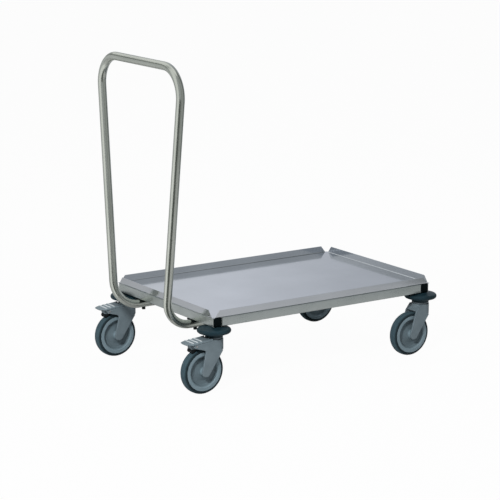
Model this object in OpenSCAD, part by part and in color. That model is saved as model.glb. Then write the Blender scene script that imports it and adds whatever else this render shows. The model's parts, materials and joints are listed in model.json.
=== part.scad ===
// Tray trolley: polished tray on a square-tube frame, bent push handle, four swivel castors,
// the two at the handle end with brake pedals. Millimetres. +X is the front, away from the
// handle, +Y the pusher's left, Z up. Origin at the bottom centre of the bounding box.

/* [Tray] */
// How far the tray runs past the frame at each end
tray_past = 1.5; // [0:0.5:10]
// How far the tray runs past the frame at each side
tray_side = 0; // [0:0.5:10]
// Height of the upstands above the frame
rim_h = 20; // [10:0.5:40]
// Sheet thickness
sheet_t = 1.5; // [1:0.1:3]
// Inside radius of the folds
fold_r = 1; // [0.5:0.1:4]
// Flat corner left between two folds
corner_gap = 6.5; // [3:0.5:15]
// How far an upstand's end leans back over its height
mitre = 16; // [4:0.5:24]

/* [Frame] */
// Length over the cross rails
frame_l = 731; // [500:1:1000]
// Width over the end plugs
frame_w = 490; // [350:1:700]
// Height of the rails, and width of the side rails
rail_s = 25; // [20:1:40]
// Width of the cross rails
cross_w = 29; // [27:1:40]
// Wall of the rails
rail_wall = 1.5; // [1:0.1:3]
// Outside corner radius of the rails
rail_r = 2; // [1:0.5:4]
// Height of the frame's underside
frame_z = 180; // [150:1:260]
// Thickness of the end plug's flange
plug_flange = 2; // [1:0.5:5]
// Width of the end plug's flange
plug_w = 24; // [20:0.5:27]
// How far the end plug goes into the tube
plug_in = 6; // [3:0.5:7]

/* [Handle] */
// Height of the handle
handle_h = 879; // [700:1:1050]
// Outside diameter of the round tube
tube_d = 23; // [20:0.5:32]
// Wall of the round tube
tube_wall = 1.5; // [1:0.1:3]
// Distance between the two feet, centre to centre
foot_w = 267; // [180:1:400]
// Outward slope of each leg in degrees
leg_taper = 6.2; // [0:0.1:12]
// Forward lean of the handle in degrees
leg_lean = 0.6; // [0:0.1:5]
// From the frame's rear face to the legs
leg_out = 78.5; // [40:1:120]
// Bend radius at the feet
foot_r = 75; // [50:1:110]
// Bend radius at the grip
grip_r = 78; // [50:1:110]
// How far the feet run past the rail's inner face
foot_past = 16; // [5:1:60]
// Least thickness of the saddle between rail and tube
saddle_t = 1; // [0.5:0.1:4]
// Width of the saddle along the rail
saddle_w = 36; // [24:1:60]
// Thread diameter of the handle bolts
hbolt_d = 6; // [5:1:8]
// Height of the bolt heads
hbolt_head = 6; // [4:0.5:6]

/* [Castors] */
// Wheel diameter
wheel_d = 125; // [80:1:160]
// Tyre width
tyre_w = 28; // [20:1:32]
// Flat width of the tread
tread_w = 6; // [2:1:16]
// Diameter of the wheel centre
rim_d = 107; // [70:1:130]
// Inner diameter of the flat ring on the wheel's face
ring_d = 87; // [50:1:110]
// Horizontal distance from swivel axis to axle
trail = 39; // [25:0.5:60]
// Swivel axis from the frame's end face
inset_x = 14.5; // [12:0.5:17]
// Swivel axis from the frame's side face
inset_y = 19; // [14:0.5:60]
// Diameter of the bumper disc
disc_d = 92; // [60:1:130]
// Thickness of the bumper disc
disc_t = 13; // [8:0.5:16]
// Height of the disc's middle below the frame
disc_drop = 11.5; // [9:0.5:14]
// Diameter of the swivel crown
crown_d = 50; // [48:1:60]
// Top of the fork crown
crown_z = 147; // [130:1:200]
// Clear width between the fork cheeks
fork_in = 40; // [36:1:44]
// Radius of the fork's axle boss
boss_r = 13; // [10:0.5:22]
// Axle diameter
axle_d = 8; // [6:1:12]
// King bolt diameter
king_d = 10; // [8:1:14]

/* [Brakes] */
// Pedal tip from the swivel axis
pedal_reach = 95; // [88:1:110]
// Height of the pedal's top beside the crown
pedal_z = 151.2; // [150.8:0.1:152]
// Downward slope of the pedal in degrees
pedal_slope = 5.5; // [4.5:0.1:6.5]
// Width of the pedal's free end
tip_w = 34; // [20:1:44]
// Pivot pin behind the swivel axis
pivot_x = 70; // [68:0.5:72]
// Height of the pivot pin
pivot_z = 138; // [137:0.1:138.5]
// Pad clearance to the tyre when released
pad_gap = 2.6; // [2.5:0.1:3.5]
// Width of the brake pad
pad_w = 22; // [14:1:26]
// Ribs on the pedal
rib_n = 3; // [2:1:4]

/* [Hidden] */
$fn = 48;
run_gap = 0.3;  // between faces that move past each other
fit_gap = 0.05; // radial, pins and bolts in their bores
wheel_r = wheel_d / 2;
tube_r = tube_d / 2;
rail_h = rail_s / 2;
tray_z = frame_z + rail_s;
tray_l = frame_l + 2 * tray_past;
tray_w = frame_w + 2 * tray_side;
fold_out = fold_r + sheet_t;
castor_x = frame_l / 2 - inset_x;
castor_y = frame_w / 2 - inset_y;
shift = (frame_l / 2 + leg_out + tube_r - castor_x - disc_d / 2) / 2;
ends = [-1, 1];
// castors: name order rear left, rear right, front left, front right
corners = [[-1, 1], [-1, -1], [1, 1], [1, -1]];

// handle: sides of the swept tube, steps in a bend, and the corner points of its centre
// line from one foot's end to the other's
tube_n = 24;
bend_n = 8;
tube_z = frame_z - saddle_t - tube_r;
foot_end = -frame_l / 2 + cross_w + foot_past;
corner_x = -frame_l / 2 - leg_out;
rise = handle_h - tube_r - tube_z;
grip_x = corner_x + rise * tan(leg_lean);
grip_y = foot_w / 2 + rise * tan(leg_taper) / cos(leg_lean);
half_line = [[foot_end, foot_w / 2, tube_z], [corner_x, foot_w / 2, tube_z],
    [grip_x, grip_y, tube_z + rise]];
line = concat(half_line, [for (k = [2 : -1 : 0])
    [half_line[k][0], -half_line[k][1], half_line[k][2]]]);
bend_r = [foot_r, grip_r, grip_r, foot_r];
way = [for (k = [0 : 4]) (line[k + 1] - line[k]) / norm(line[k + 1] - line[k])];
turn = [for (k = [0 : 3]) acos(way[k] * way[k + 1])];
back = [for (k = [0 : 3]) bend_r[k] * tan(turn[k] / 2)];
square_to = [for (k = [0 : 3]) cross(way[k], way[k + 1]) / sin(turn[k])];
hbolt_x = -frame_l / 2 + cross_w / 2;
hnut_h = 5;
hnut_af = 10;
cap_t = 3;
cap_in = 10;

// castor heights
crown_r = crown_d / 2;
fork_h = fork_in / 2;
disc_z = frame_z - disc_drop;
seal_h = 5;
collar_z = crown_z + seal_h;
race_r = 21;
race_in = 15;
cone_r = 11;
ball_d = 5;
ball_n = 12;
race_h = 11;
cone_drop = 4;
ball_z = crown_z - race_h / 2;
ball_pitch = (race_in + cone_r) / 2;
race_z = crown_z - race_h;
king_head = 6;
king_low = race_z - cone_drop;
king_af = 16;
king_nut = 8;
well_r = wheel_r + 4;
pin_r = 2;
hub_w = fork_in - 3;
bush_r = 6;
cheek_out = crown_r;
crown_low = crown_z - 30;
roof_t = 5;
roof_z = crown_z - 9;
pedal_front = -crown_r - 1.5;
roof_end = 13 - pivot_x;
pedal_h = fork_h - run_gap;
plate_h = cheek_out - 1;
plate = 3;
cap_h = plate + 2;
shoulder = 4.5;

steel = "#a9aeaa";
polished = "#bcbcc4";
slate = "#2f3d45";
grey = "#68727a";
black = "#16181a";
zinc = "#8c9090";

function arc(cx, cy, r, a, b, n) = [for (i = [0 : n]) let (t = a + (b - a) * i / n)
    [cx + r * cos(t), cy + r * sin(t)]];

module in_frame() {
    translate([shift, 0, 0])
        children();
}

module at_castor(i) {
    in_frame()
        translate([corners[i][0] * castor_x, corners[i][1] * castor_y, 0])
            children();
}

module at_axle() {
    translate([-trail, 0, wheel_r])
        rotate([90, 0, 0])
            children();
}

// Tray and frame

module fold_profile() {
    polygon(concat(
        arc(-fold_out, fold_out, fold_out, -90, 0, 6),
        [[0, rim_h], [-sheet_t, rim_h]],
        arc(-fold_out, fold_out, fold_r, 0, -90, 6)));
}

// one upstand along Y at x = 0, its ends mitred back from the corners
module upstand(len) {
    half = len / 2 - corner_gap;
    intersection() {
        rotate([90, 0, 0])
            linear_extrude(len, center = true)
                fold_profile();
        rotate([90, 0, 90])
            linear_extrude(4 * fold_out, center = true)
                polygon([[-half, -1], [half, -1], [half, 0], [half - mitre, rim_h],
                    [half - mitre, rim_h + 1], [mitre - half, rim_h + 1],
                    [mitre - half, rim_h], [-half, 0]]);
    }
}

module tray() {
    long = tray_l - 2 * corner_gap;
    wide = tray_w - 2 * corner_gap;
    color(polished)
        in_frame()
            translate([0, 0, tray_z]) {
                difference() {
                    translate([-tray_l / 2, -tray_w / 2, 0])
                        cube([tray_l, tray_w, sheet_t]);
                    for (s = ends) {
                        translate([-long / 2, s * (tray_w / 2 - fold_out / 2) - fold_out / 2, -1])
                            translate([0, s > 0 ? 0 : -1, 0])
                                cube([long, fold_out + 1, sheet_t + 2]);
                        translate([s * (tray_l / 2 - fold_out / 2) - fold_out / 2, -wide / 2, -1])
                            translate([s > 0 ? 0 : -1, 0, 0])
                                cube([fold_out + 1, wide, sheet_t + 2]);
                    }
                }
                for (s = ends) {
                    scale([s, 1, 1])
                        translate([tray_l / 2, 0, 0])
                            upstand(tray_w);
                    scale([1, s, 1])
                        translate([0, tray_w / 2, 0])
                            rotate([0, 0, 90])
                                upstand(tray_l);
                }
            }
}

module rounded(w, h, r) {
    x = w / 2 - r;
    y = h / 2 - r;
    polygon(concat(arc(x, y, r, 0, 90, 4), arc(-x, y, r, 90, 180, 4),
        arc(-x, -y, r, 180, 270, 4), arc(x, -y, r, 270, 360, 4)));
}

module box_tube(w, len) {
    linear_extrude(len, center = true)
        difference() {
            rounded(w, rail_s, rail_r);
            rounded(w - 2 * rail_wall, rail_s - 2 * rail_wall, rail_r - rail_wall);
        }
}

module side_rail(s) {
    color(steel)
        in_frame()
            translate([0, s * (frame_w / 2 - rail_h), frame_z + rail_h])
                rotate([0, 90, 0])
                    box_tube(rail_s, frame_l - 2 * cross_w);
}

module cross_rail(s) {
    color(steel)
        in_frame()
            difference() {
                translate([s * (frame_l - cross_w) / 2, 0, frame_z + rail_h])
                    rotate([90, 0, 0])
                        box_tube(cross_w, frame_w - 2 * plug_flange);
                for (t = ends)
                    translate([s * castor_x, t * castor_y, frame_z - 1])
                        cylinder(r = king_d / 2 + fit_gap, h = rail_h);
                if (s < 0)
                    for (t = ends)
                        translate([hbolt_x, t * foot_w / 2, frame_z - 1])
                            cylinder(r = hbolt_d / 2 + fit_gap, h = rail_h);
            }
}

module end_plug() {
    bore_w = cross_w - 2 * rail_wall;
    bore_h = rail_s - 2 * rail_wall;
    wall = 2.5;
    translate([0, 0, frame_w / 2 - plug_flange])
        linear_extrude(plug_flange)
            rounded(plug_w, rail_s - 0.5, rail_r);
    translate([0, 0, frame_w / 2 - plug_flange - plug_in])
        linear_extrude(plug_in)
            difference() {
                rounded(bore_w, bore_h, rail_r - rail_wall);
                square([bore_w - 2 * wall, bore_h - 2 * wall], center = true);
            }
    translate([0, 0, frame_w / 2 - plug_flange - 1])
        linear_extrude(1)
            square([bore_w - wall, bore_h - wall], center = true);
}

module rail_end_plugs() {
    color(black)
        in_frame()
            for (s = ends, t = ends)
                translate([s * (frame_l - cross_w) / 2, 0, frame_z + rail_h])
                    rotate([-90 * t, 0, 0])
                        end_plug();
}

// Handle

function spin(v, n, a) = v * cos(a) + cross(n, v) * sin(a) + n * (n * v) * (1 - cos(a));

// direction that stays on the same side of the tube, at the start of bend k
function side_at(k) = k == 0 ? [0, 1, 0]
    : spin(side_at(k - 1), square_to[k - 1], turn[k - 1]);

function tube_ring(centre, dir, side, r) = [for (i = [0 : tube_n - 1])
    let (a = 360 * i / tube_n)
    centre + r * (cos(a) * side + sin(a) * cross(dir, side))];

function tube_rings(r, past) = concat(
    [tube_ring(line[0] - past * way[0], way[0], side_at(0), r)],
    [for (k = [0 : 3], j = [0 : bend_n])
        let (a = turn[k] * j / bend_n, n = square_to[k], out = -bend_r[k] * cross(n, way[k]))
        tube_ring(line[k + 1] - back[k] * way[k] - out + spin(out, n, a),
            spin(way[k], n, a), spin(side_at(k), n, a), r)],
    [tube_ring(line[5] + past * way[4], way[4], side_at(4), r)]);

// skin of the swept tube, closed by a flat face at each foot
module swept(r, past) {
    rings = tube_rings(r, past);
    last = len(rings) - 1;
    polyhedron(
        points = [for (ring = rings) each ring],
        faces = concat(
            [[for (i = [0 : tube_n - 1]) i]],
            [[for (i = [tube_n - 1 : -1 : 0]) last * tube_n + i]],
            [for (j = [0 : last - 1], i = [0 : tube_n - 1])
                let (a = j * tube_n + i, b = j * tube_n + (i + 1) % tube_n)
                [b, a, a + tube_n, b + tube_n]]));
}

module handle() {
    color(steel)
        in_frame()
            difference() {
                swept(tube_r, 0);
                swept((tube_r - tube_wall) / cos(180 / tube_n), 1);
                for (s = ends)
                    translate([hbolt_x, s * foot_w / 2, tube_z - tube_d])
                        cylinder(r = hbolt_d / 2 + fit_gap, h = 2 * tube_d);
            }
}

module handle_saddles() {
    depth = 4;
    color(black)
        in_frame()
            for (s = ends)
                difference() {
                    translate([-frame_l / 2, s * foot_w / 2 - saddle_w / 2, frame_z - depth])
                        cube([cross_w, saddle_w, depth]);
                    translate([-frame_l / 2 - 1, s * foot_w / 2, tube_z])
                        rotate([0, 90, 0])
                            cylinder(r = tube_r, h = cross_w + 2);
                    translate([hbolt_x, s * foot_w / 2, tube_z])
                        cylinder(r = hbolt_d / 2 + fit_gap, h = tube_d);
                }
}

module handle_end_caps() {
    color(black)
        in_frame()
            for (s = ends)
                translate([foot_end, s * foot_w / 2, tube_z])
                    rotate([0, 90, 0]) {
                        cylinder(r = tube_r, h = cap_t);
                        translate([0, 0, -cap_in])
                            cylinder(r = tube_r - tube_wall, h = cap_in + cap_t / 2);
                    }
}

module handle_bolts() {
    low = tube_z - tube_r;
    top = frame_z + rail_wall + hnut_h + 1;
    color(black)
        in_frame()
            for (s = ends)
                translate([hbolt_x, s * foot_w / 2, 0]) {
                    difference() {
                        translate([0, 0, low - hbolt_head])
                            cylinder(r = hbolt_d - 1, h = hbolt_head);
                        translate([0, 0, low - hbolt_head - 1])
                            cylinder(r = hbolt_d / 2, h = hbolt_head / 2 + 1, $fn = 6);
                    }
                    translate([0, 0, low - hbolt_head / 3])
                        cylinder(r = hbolt_d / 2, h = top - low + hbolt_head / 3);
                }
}

module handle_nuts() {
    color(zinc)
        in_frame()
            for (s = ends)
                translate([hbolt_x, s * foot_w / 2, frame_z + rail_wall])
                    difference() {
                        cylinder(r = hnut_af / 2 / cos(30), h = hnut_h, $fn = 6);
                        translate([0, 0, -1])
                            cylinder(r = hbolt_d / 2 + fit_gap, h = hnut_h + 2);
                    }
}

// Castor parts that stay with the frame

module bumper_disc(i) {
    hub_r = 16;
    nose = disc_t / 2;
    low_r = crown_r - 1;
    neck_r = crown_r + 3;
    color(slate)
        at_castor(i)
            rotate_extrude()
                polygon(concat(
                    [[king_d / 2 + fit_gap, frame_z], [king_d / 2 + fit_gap, collar_z],
                     [low_r, collar_z], [neck_r, disc_z - nose]],
                    arc(disc_d / 2 - nose, disc_z, nose, -90, 90, 16),
                    [[hub_r + 4, frame_z - 2], [hub_r, frame_z]]));
}

module king_bolts() {
    top = frame_z + rail_wall + king_nut + 2;
    color(zinc)
        for (i = [0 : 3])
            at_castor(i) {
                translate([0, 0, king_low - king_head])
                    cylinder(r = king_af / 2 / cos(30), h = king_head, $fn = 6);
                translate([0, 0, king_low - king_head / 2])
                    cylinder(r = king_d / 2, h = top - king_low + king_head / 2);
            }
}

module king_nuts() {
    color(zinc)
        for (i = [0 : 3])
            at_castor(i)
                translate([0, 0, frame_z + rail_wall])
                    difference() {
                        cylinder(r = king_af / 2 / cos(30), h = king_nut, $fn = 6);
                        translate([0, 0, -1])
                            cylinder(r = king_d / 2 + fit_gap, h = king_nut + 2);
                    }
}

module ball_groove() {
    translate([0, 0, ball_z])
        rotate_extrude()
            translate([ball_pitch, 0])
                circle(ball_d / 2 + fit_gap);
}

module swivel_cones() {
    color(zinc)
        for (i = [0 : 3])
            at_castor(i)
                difference() {
                    translate([0, 0, king_low])
                        cylinder(r = cone_r, h = collar_z - king_low);
                    translate([0, 0, king_low - 1])
                        cylinder(r = king_d / 2 + fit_gap, h = collar_z - king_low + 2);
                    ball_groove();
                }
}

// Castor parts that swivel

module race(i) {
    color(zinc)
        at_castor(i)
            difference() {
                translate([0, 0, race_z])
                    cylinder(r = race_r, h = crown_z - race_z);
                translate([0, 0, race_z - 1])
                    cylinder(r = race_in, h = crown_z - race_z + 2);
                ball_groove();
            }
}

module balls(i) {
    color(zinc)
        at_castor(i)
            for (k = [0 : ball_n - 1])
                rotate([0, 0, k * 360 / ball_n])
                    translate([ball_pitch, 0, ball_z])
                        sphere(r = ball_d / 2, $fn = 24);
}

module seal(i) {
    lip = cone_r + run_gap;
    color(steel)
        at_castor(i)
            rotate_extrude()
                polygon([[race_in, crown_z], [crown_r - 4, crown_z], [crown_r - 4, crown_z + 2],
                    [crown_r - 1, crown_z + 2], [crown_r - 1, collar_z - run_gap],
                    [lip, collar_z - run_gap], [lip, crown_z + 2], [race_in, crown_z + 2]]);
}

// height of the pedal over the point x, down from its top face by that depth
function pedal_at(x, depth) = pedal_z + (x - pedal_front) * tan(pedal_slope)
    - depth / cos(pedal_slope);

// top edge of the fork's arm over the point x, clear of the pedal's lip
function arm_top(x) = pedal_at(x, cap_h) - run_gap;

// side view of one cheek, x behind and z up from the floor
module cheek_profile(brake) {
    foot = arc(-trail, wheel_r, boss_r, -35, -196, 20);
    front = [[0, crown_low + 9], [crown_r - 11.5, crown_low]];
    plain = [[-33.5, crown_z - 20], [-31, crown_z - 17], [-19, crown_z - 2], [0, crown_z]];
    ear = arc(-pivot_x, pivot_z, 6.5, -120, -190, 8);
    arm = concat([[-39.5, crown_low + 2], [-45, crown_low + 6.5]], ear,
        [[-pivot_x - 4, arm_top(-pivot_x - 4) - 1], [-pivot_x, arm_top(-pivot_x) - 0.3],
         [-17.5, arm_top(-17.5)], [-17, crown_z], [0, crown_z]]);
    polygon(concat(front, foot, brake ? arm : plain));
}

// roof between the cheeks, over the wheel
module roof_profile(brake) {
    if (brake)
        polygon([[0, crown_low + 5], [0, roof_z], [roof_end, roof_z],
            [roof_end, roof_z - roof_t], [-26, roof_z - roof_t], [-14, crown_low + 5]]);
    else
        polygon([[0, crown_low + 5], [0, crown_z - 1], [-19, crown_z - 2],
            [-31, crown_z - 17], [-32, crown_z - 21], [-14, crown_low + 5]]);
}

module fork(i) {
    brake = corners[i][0] < 0;
    color(grey)
        at_castor(i)
            difference() {
                union() {
                    translate([0, 0, crown_low])
                        cylinder(r = crown_r, h = crown_z - crown_low);
                    rotate([90, 0, 0])
                        linear_extrude(fork_in + 2, center = true)
                            roof_profile(brake);
                    for (s = ends)
                        translate([0, s * (fork_h + cheek_out) / 2, 0])
                            rotate([90, 0, 0])
                                linear_extrude(cheek_out - fork_h, center = true)
                                    cheek_profile(brake);
                }
                at_axle()
                    cylinder(r = well_r, h = fork_in, center = true, $fn = 96);
                at_axle()
                    cylinder(r = axle_d / 2 + fit_gap, h = 2 * cheek_out - 2, center = true);
                translate([0, 0, race_z])
                    cylinder(r = race_r, h = crown_z);
                translate([0, 0, crown_low - 1])
                    cylinder(r = cone_r + 1, h = crown_z);
                if (brake)
                    translate([-pivot_x, 0, pivot_z])
                        rotate([90, 0, 0])
                            cylinder(r = pin_r, h = 3 * fork_in, center = true);
            }
}

module axle(i) {
    color(zinc)
        at_castor(i)
            at_axle() {
                cylinder(r = axle_d / 2, h = 2 * cheek_out - 2.2, center = true);
                for (s = ends)
                    translate([0, 0, s * (hub_w + fork_in) / 4])
                        difference() {
                            cylinder(r = 7.5, h = 0.9, center = true);
                            cylinder(r = axle_d / 2 + fit_gap, h = 2, center = true);
                        }
            }
}

// Wheel

module wheel(i) {
    web = 4;
    hub = 12;
    rim_y = tyre_w / 2;
    ring_r = ring_d / 2;
    tongue = 4;
    color(grey)
        at_castor(i)
            at_axle()
                rotate_extrude($fn = 96)
                    polygon(concat(
                        [[bush_r, -hub_w / 2], [hub, -hub_w / 2], [hub + 1, -9],
                         [hub + 14, -web], [ring_r - 9, -web - 1], [ring_r, -rim_y],
                         [rim_d / 2, -rim_y], [rim_d / 2, -tongue],
                         [rim_d / 2 - 3, -tongue], [rim_d / 2 - 3, tongue],
                         [rim_d / 2, tongue], [rim_d / 2, rim_y], [ring_r, rim_y],
                         [ring_r - 9, web + 1], [hub + 14, web], [hub + 1, 9],
                         [hub, hub_w / 2], [bush_r, hub_w / 2]]));
}

module tyre(i) {
    rim_y = tyre_w / 2;
    tongue = 4;
    flat = tread_w / 2;
    shoulder = rim_y - flat;
    drop = (wheel_d - rim_d) / 2;
    crown = [for (k = [0 : 8]) let (t = k * 90 / 8)
        [wheel_r - (drop - 1) * (1 - cos(t)), flat + shoulder * sin(t)]];
    color(black)
        at_castor(i)
            at_axle()
                rotate_extrude($fn = 96)
                    polygon(concat(
                        [[rim_d / 2 - 3, -tongue], [rim_d / 2, -tongue], [rim_d / 2, -rim_y]],
                        [for (k = [8 : -1 : 0]) [crown[k][0], -crown[k][1]]],
                        crown,
                        [[rim_d / 2, rim_y], [rim_d / 2, tongue], [rim_d / 2 - 3, tongue]]));
}

module bush(i) {
    color(zinc)
        at_castor(i)
            at_axle()
                difference() {
                    cylinder(r = bush_r, h = hub_w, center = true);
                    cylinder(r = axle_d / 2 + fit_gap, h = hub_w + 2, center = true);
                }
}

// Brake

// pedal space: origin on the plate's top at the crown end, x backwards down the slope
module on_pedal() {
    translate([pedal_front, 0, pedal_z])
        rotate([0, -pedal_slope, 0])
            children();
}

// plan of the cap: full width over the fork, narrower at the free end
module cap_plan(len) {
    front = 8;
    taper = 11;
    polygon([[front, -plate_h], [front, plate_h], [taper - len, plate_h], [-len, tip_w / 2],
        [-len, -tip_w / 2], [taper - len, -plate_h]]);
}

// outer line across the cap, from one lip over the rounded shoulders to the other
function over_cap(out, from) = let (y = plate_h - shoulder, r = shoulder + out)
    concat(arc(y, -shoulder, r, from, 90, 5), arc(-y, -shoulder, r, 90, 180 - from, 5));

module cap_section() {
    lip = plate_h - 2;
    polygon(concat([[lip, -plate], [lip, -cap_h], [plate_h, -cap_h]], over_cap(0, 0),
        [[-plate_h, -cap_h], [-lip, -cap_h], [-lip, -plate]]));
}

module rib_section() {
    deep = shoulder - 0.5;
    polygon(concat([[plate_h - 3.5, -1.5], [plate_h - 0.8, -deep]], over_cap(0.7, 6),
        [[0.8 - plate_h, -deep], [3.5 - plate_h, -1.5]]));
}

// side view of the pad, hollowed to face the tyre
module pad_profile() {
    translate([-pivot_x, pivot_z])
        difference() {
            polygon([[6, -10.5], [6, -20], [-3.5, -24.5], [-8.5, -16.5], [-6.5, -10.5]]);
            translate([pivot_x - trail, wheel_r - pivot_z])
                circle(wheel_r + pad_gap, $fn = 180);
        }
}

module pedal(i) {
    len = (pedal_reach + pedal_front) / cos(pedal_slope);
    side = 2.5;
    side_end = roof_end - 1;
    rib = 4.5;
    first = 15;
    pitch = 12.7;
    side_back = -pivot_x - 9;
    post_back = -pivot_x - 13;
    post_end = -pivot_x + 4.5;
    color(grey)
        at_castor(i)
            difference() {
                union() {
                    on_pedal() {
                        intersection() {
                            translate([0, 0, -cap_h - 1])
                                linear_extrude(cap_h + 2)
                                    cap_plan(len);
                            translate([-len - 1, 0, 0])
                                rotate([90, 0, 90])
                                    linear_extrude(len + plate_h)
                                        cap_section();
                        }
                        for (k = [0 : rib_n - 1])
                            translate([first + k * pitch - len, 0, 0])
                                rotate([90, 0, 90])
                                    linear_extrude(rib)
                                        rib_section();
                    }
                    for (s = ends)
                        translate([0, s * (pedal_h - side / 2), 0])
                            rotate([90, 0, 0])
                                linear_extrude(side, center = true)
                                    polygon(concat(arc(-pivot_x, pivot_z, 6, -150, -60, 6),
                                        [[side_end, pivot_z - 4],
                                         [side_end, pedal_at(side_end, plate / 2)],
                                         [side_back, pedal_at(side_back, plate / 2)]]));
                    rotate([90, 0, 0])
                        linear_extrude(pad_w - 2, center = true)
                            polygon([[-pivot_x - 6, pivot_z - 10.5], [post_end, pivot_z - 10.5],
                                [post_end, pedal_at(post_end, plate / 2)],
                                [post_back, pedal_at(post_back, plate / 2)],
                                [-pivot_x - 8, pivot_z - 4]]);
                }
                translate([-pivot_x, 0, pivot_z])
                    rotate([90, 0, 0])
                        cylinder(r = pin_r + fit_gap, h = 3 * fork_in, center = true);
                cylinder(r = -pedal_front, h = 2 * crown_z);
            }
}

module brake_pad(i) {
    color(black)
        at_castor(i)
            rotate([90, 0, 0])
                linear_extrude(pad_w, center = true)
                    pad_profile();
}

module pedal_pin(i) {
    head = 1.2;
    color(zinc)
        at_castor(i)
            translate([-pivot_x, 0, pivot_z])
                rotate([90, 0, 0]) {
                    cylinder(r = pin_r, h = 2 * cheek_out, center = true);
                    for (s = ends)
                        translate([0, 0, s * (cheek_out + head / 2)])
                            cylinder(r = pin_r + 1, h = head, center = true);
                }
}

// leaf spring: lies on the roof and bends up to the underside of the plate
module brake_spring(i) {
    leaf = 0.8;
    width = 10;
    rise_x = -46;
    end_x = -36;
    end_z = pedal_at(end_x, plate) - run_gap - leaf;
    color(zinc)
        at_castor(i)
            rotate([90, 0, 0])
                linear_extrude(width, center = true)
                    polygon([[roof_end, roof_z], [rise_x, roof_z], [end_x, end_z],
                        [end_x, end_z + leaf], [rise_x - leaf, roof_z + leaf],
                        [roof_end, roof_z + leaf]]);
}

tray();
side_rail(1);  // side_rail_left
side_rail(-1);  // side_rail_right
cross_rail(-1);  // cross_rail_rear
cross_rail(1);  // cross_rail_front
rail_end_plugs();
handle();
handle_saddles();
handle_bolts();
handle_nuts();
handle_end_caps();
king_bolts();
king_nuts();
swivel_cones();
bumper_disc(0);  // bumper_disc_rear_left
bumper_disc(1);  // bumper_disc_rear_right
bumper_disc(2);  // bumper_disc_front_left
bumper_disc(3);  // bumper_disc_front_right
fork(0);  // fork_rear_left
fork(1);  // fork_rear_right
fork(2);  // fork_front_left
fork(3);  // fork_front_right
race(0);  // race_rear_left
race(1);  // race_rear_right
race(2);  // race_front_left
race(3);  // race_front_right
balls(0);  // balls_rear_left
balls(1);  // balls_rear_right
balls(2);  // balls_front_left
balls(3);  // balls_front_right
seal(0);  // seal_rear_left
seal(1);  // seal_rear_right
seal(2);  // seal_front_left
seal(3);  // seal_front_right
axle(0);  // axle_rear_left
axle(1);  // axle_rear_right
axle(2);  // axle_front_left
axle(3);  // axle_front_right
wheel(0);  // wheel_rear_left
wheel(1);  // wheel_rear_right
wheel(2);  // wheel_front_left
wheel(3);  // wheel_front_right
tyre(0);  // tyre_rear_left
tyre(1);  // tyre_rear_right
tyre(2);  // tyre_front_left
tyre(3);  // tyre_front_right
bush(0);  // bush_rear_left
bush(1);  // bush_rear_right
bush(2);  // bush_front_left
bush(3);  // bush_front_right
pedal(0);  // pedal_rear_left
pedal(1);  // pedal_rear_right
brake_pad(0);  // brake_pad_rear_left
brake_pad(1);  // brake_pad_rear_right
pedal_pin(0);  // pedal_pin_rear_left
pedal_pin(1);  // pedal_pin_rear_right
brake_spring(0);  // brake_spring_rear_left
brake_spring(1);  // brake_spring_rear_right
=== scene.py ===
# Looks of the tray trolley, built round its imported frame. Metres, +X front, +Z up.
import json
import math

import bmesh
import bpy
from mathutils import Matrix, Vector


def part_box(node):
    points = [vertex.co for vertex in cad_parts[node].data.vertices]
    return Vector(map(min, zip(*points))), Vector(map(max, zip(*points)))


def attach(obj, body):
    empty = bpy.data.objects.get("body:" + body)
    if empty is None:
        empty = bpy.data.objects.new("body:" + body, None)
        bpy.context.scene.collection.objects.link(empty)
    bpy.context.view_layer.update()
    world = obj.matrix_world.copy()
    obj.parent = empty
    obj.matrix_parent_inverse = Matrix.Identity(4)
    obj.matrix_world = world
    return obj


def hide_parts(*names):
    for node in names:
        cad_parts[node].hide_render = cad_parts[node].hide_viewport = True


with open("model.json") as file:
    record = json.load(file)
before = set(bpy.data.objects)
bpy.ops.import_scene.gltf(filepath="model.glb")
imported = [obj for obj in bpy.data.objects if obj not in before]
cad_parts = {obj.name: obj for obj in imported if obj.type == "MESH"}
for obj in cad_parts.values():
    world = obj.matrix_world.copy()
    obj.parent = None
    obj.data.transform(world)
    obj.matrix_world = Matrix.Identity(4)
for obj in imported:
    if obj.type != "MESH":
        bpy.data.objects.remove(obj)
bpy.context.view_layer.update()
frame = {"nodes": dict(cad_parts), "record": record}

mm = 0.001
cornerNames = ["rear_left", "rear_right", "front_left", "front_right"]
rearNames, frontNames = cornerNames[:2], cornerNames[2:]


def middle(node):
    low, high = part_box(node)
    return (low + high) / 2


swivelAt = {name: middle("bumper_disc_" + name) for name in cornerNames}
axleAt = {name: middle("tyre_" + name) for name in cornerNames}
frameCentre = middle("side_rail_left").x
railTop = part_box("side_rail_left")[1].z


# Node and material helpers

def srgb(code):
    channels = [int(code[i:i + 2], 16) / 255 for i in (1, 3, 5)]
    linear = [c / 12.92 if c <= 0.04045 else ((c + 0.055) / 1.055) ** 2.4 for c in channels]
    return (*linear, 1)


def addNode(tree, kind, inputs=None, **settings):
    node = tree.nodes.new(kind)
    for key, value in settings.items():
        setattr(node, key, value)
    for key, value in (inputs or {}).items():
        if isinstance(value, bpy.types.NodeSocket):
            tree.links.new(value, node.inputs[key])
        else:
            node.inputs[key].default_value = value
    return node


def maths(tree, operation, *values):
    return addNode(tree, "ShaderNodeMath", dict(enumerate(values)), operation=operation).outputs[0]


def emptyTree(owner):
    owner.use_nodes = True
    owner.node_tree.nodes.clear()
    return owner.node_tree


def surfaceMaterial(name, **values):
    material = bpy.data.materials.new(name)
    tree = emptyTree(material)
    shader = addNode(tree, "ShaderNodeBsdfPrincipled", values)
    addNode(tree, "ShaderNodeOutputMaterial", {"Surface": shader.outputs[0]})
    place = addNode(tree, "ShaderNodeTexCoord").outputs["Object"]
    return material, tree, shader, place


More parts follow.
